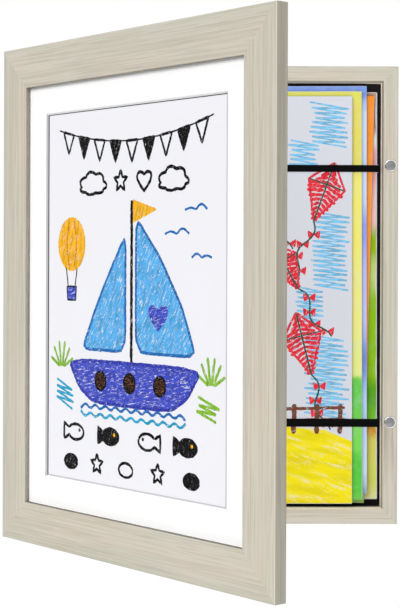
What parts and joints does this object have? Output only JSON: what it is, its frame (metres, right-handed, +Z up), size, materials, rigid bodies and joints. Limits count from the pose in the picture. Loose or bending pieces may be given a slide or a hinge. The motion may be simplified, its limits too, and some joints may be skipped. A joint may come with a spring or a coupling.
{
  "type": "childrens art frame",
  "caption": "Wall-hung picture frame whose mitred front opens as a hinged door, over a shallow box that stores a stack of children's art behind elastic straps.",
  "frame": {"origin": "middle of the top rail's rear rim, on the wall plane", "axes": "+X to the right seen from the front, +Y back into the wall, +Z up"},
  "size_m": [0.3047, 0.2652, 0.374],
  "materials": {
    "door_wood": "matt wood-grain foil",
    "box_wood": "matt wood-grain foil",
    "panel_board": "black matt board",
    "strap_elastic": "woven elastic",
    "hinge_steel": "zinc plated",
    "fixing_steel": "zinc plated",
    "catch_metal": "nickel plated",
    "art_paper": "drawing paper",
    "print_paper": "smooth paper",
    "mat_board": "white mat board",
    "backing_board": "dark board",
    "glazing": "clear sheet"
  },
  "bodies": {
    "box": {"art_bundle_1": "art_paper", "art_bundle_2": "art_paper", "art_bundle_3": "art_paper", "art_bundle_4": "art_paper", "art_bundle_5": "art_paper", "back_panel": "panel_board", "box_rail_bottom": "box_wood", "box_rail_top": "box_wood", "box_stile_left": "box_wood", "box_stile_right": "box_wood", "hanger_side": "hinge_steel", "hanger_side_screw_lower": "fixing_steel", "hanger_side_screw_upper": "fixing_steel", "hanger_top": "hinge_steel", "hanger_top_screw_left": "fixing_steel", "hanger_top_screw_right": "fixing_steel", "hinge_lower_box_leaf": "hinge_steel", "hinge_lower_box_screw_lower": "fixing_steel", "hinge_lower_box_screw_upper": "fixing_steel", "hinge_lower_pin": "hinge_steel", "hinge_upper_box_leaf": "hinge_steel", "hinge_upper_box_screw_lower": "fixing_steel", "hinge_upper_box_screw_upper": "fixing_steel", "hinge_upper_pin": "hinge_steel", "magnet_lower": "catch_metal", "magnet_upper": "catch_metal", "panel_screw_bottom": "fixing_steel", "panel_screw_left_lower": "fixing_steel", "panel_screw_left_upper": "fixing_steel", "panel_screw_right_lower": "fixing_steel", "panel_screw_right_upper": "fixing_steel", "panel_screw_top": "fixing_steel", "strap_lower": "strap_elastic", "strap_staple_lower_left": "fixing_steel", "strap_staple_lower_right": "fixing_steel", "strap_staple_upper_left": "fixing_steel", "strap_staple_upper_right": "fixing_steel", "strap_upper": "strap_elastic"},
    "door": {"backing_board": "backing_board", "display_print": "print_paper", "door_rail_bottom": "door_wood", "door_rail_top": "door_wood", "door_stile_left": "door_wood", "door_stile_right": "door_wood", "flexi_point_bottom": "fixing_steel", "flexi_point_left_lower": "fixing_steel", "flexi_point_left_upper": "fixing_steel", "flexi_point_right_lower": "fixing_steel", "flexi_point_right_upper": "fixing_steel", "flexi_point_top": "fixing_steel", "glazing": "glazing", "hinge_lower_door_leaf": "hinge_steel", "hinge_lower_door_screw_lower": "fixing_steel", "hinge_lower_door_screw_upper": "fixing_steel", "hinge_upper_door_leaf": "hinge_steel", "hinge_upper_door_screw_lower": "fixing_steel", "hinge_upper_door_screw_upper": "fixing_steel", "mat_board": "mat_board", "strike_disc_lower": "catch_metal", "strike_disc_upper": "catch_metal"}
  },
  "joints": [
    {"name": "door_hinge", "type": "hinge", "parent": "box", "child": "door", "pos_m": [-0.1471, -0.0272, -0.17425], "axis": [0, 0, -1], "range_deg": [-50, 60]}
  ]
}
